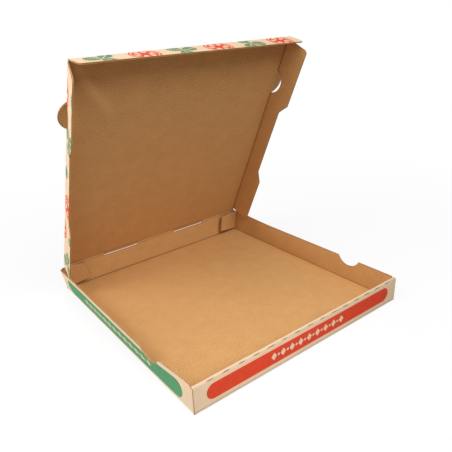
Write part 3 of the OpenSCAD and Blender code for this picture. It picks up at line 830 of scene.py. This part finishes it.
flap_lines_u = grid_lines(edge, LID_SIDE + FLAP_FRONT_DEPTH, 8, (LID_SIDE,))
for name, hand, over, rear_corner, splay, twist in (
        ("left", -1, left_over, LEFT_REAR_CUT, LEFT_SPLAY, LEFT_TWIST),
        ("right", 1, np.zeros_like, RIGHT_REAR_CUT, RIGHT_SPLAY, 0.0)):
    flap_outline = [(hand * u, v + HINGE_V) for u, v in side_flap_outline(rear_corner)]
    bend = side_flap(hand, over, splay, twist)
    flap = fold_board(name + "_flap", flap_outline, [hand * u for u in flap_lines_u],
                      grid_lines(HINGE_V, HINGE_V + LID_FRONT, 8), bend, [(0, hand * LID_SIDE, 0.9)], lid_print)
    halfway = np.full(2, HINGE_V + LID_FRONT / 2)
    ends = bend(hand * (LID_SIDE + np.array([-FOLD_REACH, FOLD_REACH])), halfway)
    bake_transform(flap)
    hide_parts("lid_" + name + "_flap")


def front_flap(u, v):
    along = v - HINGE_V - LID_FRONT
    ahead, down = crease(along, math.pi / 2 - FRONT_FLAP_SPLAY + FRONT_FLAP_TWIST * u / LID_SIDE, FOLD_REACH)
    return lid_point(u + FRONT_FLAP_SHIFT * np.maximum(along, 0) / FRONT_FLAP_DEPTH, LID_FRONT + ahead, down)


free = LID_FRONT + FRONT_FLAP_DEPTH
front_flap_side = [(LID_SIDE, LID_FRONT - MARGIN), (FRONT_FLAP_HALF, LID_FRONT),
                   (FRONT_FLAP_HALF, free - FRONT_FLAP_CUT), (FRONT_FLAP_HALF - FRONT_FLAP_CUT, free)]
front_flap_outline = [(u, v + HINGE_V) for u, v in front_flap_side]
front_flap_outline += [(-u, v) for u, v in reversed(front_flap_outline)]
flap = fold_board("front_flap", front_flap_outline, grid_lines(-FRONT_FLAP_HALF, FRONT_FLAP_HALF, 8),
                  grid_lines(panel_front, HINGE_V + free, 8, (HINGE_V + LID_FRONT,)), front_flap,
                  [(1, HINGE_V + LID_FRONT, 0.9)], lid_print)
ends = front_flap(np.zeros(2), HINGE_V + LID_FRONT + np.array([-FOLD_REACH, FOLD_REACH]))
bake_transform(flap)
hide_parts("lid_front_flap")


# Torn edges
# The die leaves small torn flakes of liner along some cut edges: on the left wall's top beside the notch,
# and on the free edges of the lid's left and front flaps. They hang on by their fibres.

FLAKE_COUNT_WALL, FLAKE_COUNT_NOTCH, FLAKE_COUNT_LEFT, FLAKE_COUNT_FRONT = 9, 5, 14, 18
FLAKE_WALL, FLAKE_FLAP, FLAKE_DRIFT = 2.8, 1.5, 0.25
WALL_TEAR, NOTCH_TEAR, LEFT_TEAR, FRONT_TEAR = (-152.0, -116.0), (-77.0, -69.0), (238.0, 314.0), (-150.0, 152.0)
NOTCH_TEAR_DROP = 5.5


def flake_colour(tree):
    place = add(tree, "ShaderNodeTexCoord").outputs["Object"]
    fuzz = add(tree, "ShaderNodeTexNoise", {"Vector": place, "Scale": 700.0, "Detail": 3.0}).outputs[0]
    return mix_paint(tree, span(tree, fuzz, 0.40, 0.62), paint(246, 220, 184), paint(104, 66, 36)), fuzz


torn_paper = paper("torn_paper", flake_colour)
flakes, given = row_tree("torn_flakes", Count="Int", Start="Vector", Step="Vector", Size="Float",
                         Drift="Float", Seed="Int")
places = add(flakes, "GeometryNodeMeshLine", {"Count": given["Count"], "Start Location": given["Start"],
                                              "Offset": given["Step"]}).outputs[0]
share = add(flakes, "FunctionNodeRandomValue", {2: -0.45, 3: 0.45, "Seed": given["Seed"]},
            data_type="FLOAT").outputs[1]
slide = add(flakes, "ShaderNodeVectorMath", {0: given["Step"], "Scale": share}, operation="SCALE").outputs[0]
stray = chance(flakes, (-1, -1, -1), (1, 1, 1), given["Seed"])
stray = add(flakes, "ShaderNodeVectorMath", {0: stray, "Scale": given["Drift"]}, operation="SCALE").outputs[0]
shift = add(flakes, "ShaderNodeVectorMath", {0: slide, 1: stray}, operation="ADD").outputs[0]
places = add(flakes, "GeometryNodeSetPosition", {"Geometry": places, "Offset": shift}).outputs[0]
chip = add(flakes, "GeometryNodeMeshCone", {"Vertices": 5, "Radius Top": 0.22, "Radius Bottom": 0.5,
                                            "Depth": 0.4}).outputs[0]
chip_size = chance(flakes, (0.35, 0.25, 0.25), (1.25, 0.6, 0.7), given["Seed"])
chip_size = add(flakes, "ShaderNodeVectorMath", {0: chip_size, "Scale": given["Size"]},
                operation="SCALE").outputs[0]
chip_turn = chance(flakes, (-0.6, -0.6, -3.1), (0.6, 0.6, 3.1), given["Seed"])
place_row(flakes, places, chip, chip_turn, chip_size, torn_paper)


def torn_edge(name, body, bend, first, last, count, size, seed):
    """A row of flakes between two places of the flat sheet, once it is bent."""
    start, end = bend(np.array([first[0], last[0]]), np.array([first[1], last[1]])) * MM
    step = (end - start) / (count - 1)
    row_of_flakes = from_nodes(name, flakes, {
        "Count": count, "Start": tuple(start), "Step": tuple(step), "Size": size * MM,
        "Drift": FLAKE_DRIFT * MM, "Seed": seed})
    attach(row_of_flakes, body)


left_free = -LID_SIDE - FLAP_FRONT_DEPTH
torn_edge("torn_left_wall", "tray", floor_and_sides, (-WALL_TOP, WALL_TEAR[0]), (-WALL_TOP, WALL_TEAR[1]),
          FLAKE_COUNT_WALL, FLAKE_WALL, 3)
torn_edge("torn_notch", "tray", floor_and_sides, (-WALL_TOP + NOTCH_TEAR_DROP, NOTCH_TEAR[0]),
          (-WALL_TOP, NOTCH_TEAR[1]), FLAKE_COUNT_NOTCH, FLAKE_WALL, 11)
torn_edge("torn_left_flap", "lid_left_flap", side_flap(-1, left_over, LEFT_SPLAY, LEFT_TWIST),
          (left_free, HINGE_V + LEFT_TEAR[0]), (left_free, HINGE_V + LEFT_TEAR[1]),
          FLAKE_COUNT_LEFT, FLAKE_FLAP, 5)
torn_edge("torn_front_flap", "lid_front_flap", front_flap, (FRONT_TEAR[0], HINGE_V + free),
          (FRONT_TEAR[1], HINGE_V + free), FLAKE_COUNT_FRONT, FLAKE_FLAP, 8)


# Floor, light and camera
# A plain pale studio floor and a white surround. Large soft lamps stand in front, at the left and behind,
# two smaller ones light the left side and the front's top edge, and the camera is at the photograph's place.

FLOOR_SIZE, FLOOR_DROP = 60.0, 0.0003
FLOOR_BOUNCE, FLOOR_SHOWN = (0.32, 0.32, 0.32, 1), (0.95, 0.95, 0.95, 1)
SHADOW_NEAR, SHADOW_FAR, SHADOW_KEEP = 0.25, 0.8, 0.86
SKY_LIGHT = 0.04
ground_mesh = bpy.data.meshes.new("studio_floor")
reach = FLOOR_SIZE / 2
ground_corners = [(x * reach, y * reach, -FLOOR_DROP) for x, y in ((-1, -1), (1, -1), (1, 1), (-1, 1))]
ground_mesh.from_pydata(ground_corners, [], [(0, 1, 2, 3)])
ground = bpy.data.objects.new("studio_floor", ground_mesh)
bpy.context.scene.collection.objects.link(ground)


def seen_directly(tree):
    """1 where the camera sees the surface itself, in a mirror or through glass, and 0 for its light."""
    seen = add(tree, "ShaderNodeLightPath").outputs
    return calc(tree, "MAXIMUM", calc(tree, "MAXIMUM", seen["Is Camera Ray"], seen["Is Glossy Ray"]),
                seen["Is Transmission Ray"])


pale = bpy.data.materials.new("pale_floor")
pale.use_nodes = True
tree = pale.node_tree
tree.nodes.clear()
matt = add(tree, "ShaderNodeBsdfDiffuse", {"Color": FLOOR_BOUNCE}).outputs[0]
shown = add(tree, "ShaderNodeBsdfDiffuse", {"Color": FLOOR_SHOWN}).outputs[0]
glow = add(tree, "ShaderNodeEmission", {"Color": (1, 1, 1, 1), "Strength": 1.0}).outputs[0]
spot = add(tree, "ShaderNodeTexCoord").outputs["Object"]
far = add(tree, "ShaderNodeVectorMath", {0: spot}, operation="LENGTH").outputs["Value"]
glow_share = span(tree, far, SHADOW_NEAR, SHADOW_FAR, SHADOW_KEEP, 1.0)
bright = add(tree, "ShaderNodeMixShader", {0: glow_share, 1: shown, 2: glow}).outputs[0]
both = add(tree, "ShaderNodeMixShader", {0: seen_directly(tree), 1: matt, 2: bright}).outputs[0]
add(tree, "ShaderNodeOutputMaterial", {0: both})
ground_mesh.materials.append(pale)

world = bpy.data.worlds.new("studio")
bpy.context.scene.world = world
world.use_nodes = True
tree = world.node_tree
tree.nodes.clear()
sky_level = span(tree, seen_directly(tree), 0, 1, SKY_LIGHT, 1.0)
sky = add(tree, "ShaderNodeBackground", {"Color": (1, 1, 1, 1), "Strength": sky_level}).outputs[0]
add(tree, "ShaderNodeOutputWorld", {0: sky})


def soft_lamp(name, place, target, size, power, spread=180):
    """A round soft lamp: its place, what it points at and its width in metres, its watts, its spread."""
    lamp = bpy.data.lights.new(name, "AREA")
    lamp.shape, lamp.size, lamp.energy, lamp.spread = "DISK", size, power, math.radians(spread)
    holder = bpy.data.objects.new(name, lamp)
    bpy.context.scene.collection.objects.link(holder)
    facing = (Vector(target) - Vector(place)).to_track_quat("-Z", "Y")
    holder.matrix_world = Matrix.Translation(place) @ facing.to_matrix().to_4x4()


BOX_MIDDLE = (0, 0, 0.08)
soft_lamp("left_lamp", (-0.8, 0.0, 0.9), BOX_MIDDLE, 0.7, 6.9)
soft_lamp("front_lamp", (0.1, -0.85, 1.1), BOX_MIDDLE, 0.8, 11.9)
soft_lamp("front_left_lamp", (-0.85, -0.5, 0.45), BOX_MIDDLE, 0.5, 1.0)
soft_lamp("low_left_lamp", (-0.9, 0.16, 0.05), (0, 0, 0.05), 0.16, 3.0)
soft_lamp("front_edge_lamp", (-0.15, -0.62, 0.45), (-0.08, -0.2, 0), 0.25, 0.11, 45)
soft_lamp("back_lamp", (0.5, 1.05, 0.3), (0, 0.1, 0.12), 0.9, 8.0)

CAMERA_PLACE = Vector((-0.36418, -0.48802, 0.36659))
CAMERA_TURN, CAMERA_DIP, CAMERA_ROLL = -34.25, 23.28, 3.77
LENS_LENGTH, LENS_WIDTH, LENS_SHIFT = 38.96, 36.0, (0.0619, 0.0052)
turn, dip, roll = (math.radians(angle) for angle in (CAMERA_TURN, CAMERA_DIP, CAMERA_ROLL))
ahead = Vector((-math.sin(turn) * math.cos(dip), math.cos(turn) * math.cos(dip), -math.sin(dip)))
level = ahead.cross(Vector((0, 0, 1))).normalized()
below = ahead.cross(level)
right = math.cos(roll) * level + math.sin(roll) * below
down = -math.sin(roll) * level + math.cos(roll) * below
lens = bpy.data.cameras.new("photo_camera")
lens.lens, lens.sensor_width = LENS_LENGTH, LENS_WIDTH
lens.shift_x, lens.shift_y = LENS_SHIFT
lens.clip_start = 0.01
camera = bpy.data.objects.new("photo_camera", lens)
bpy.context.scene.collection.objects.link(camera)
camera.matrix_world = Matrix.Translation(CAMERA_PLACE) @ Matrix((right, -down, -ahead)).transposed().to_4x4()
bpy.context.scene.camera = camera
bpy.context.scene.view_settings.view_transform = "Standard"
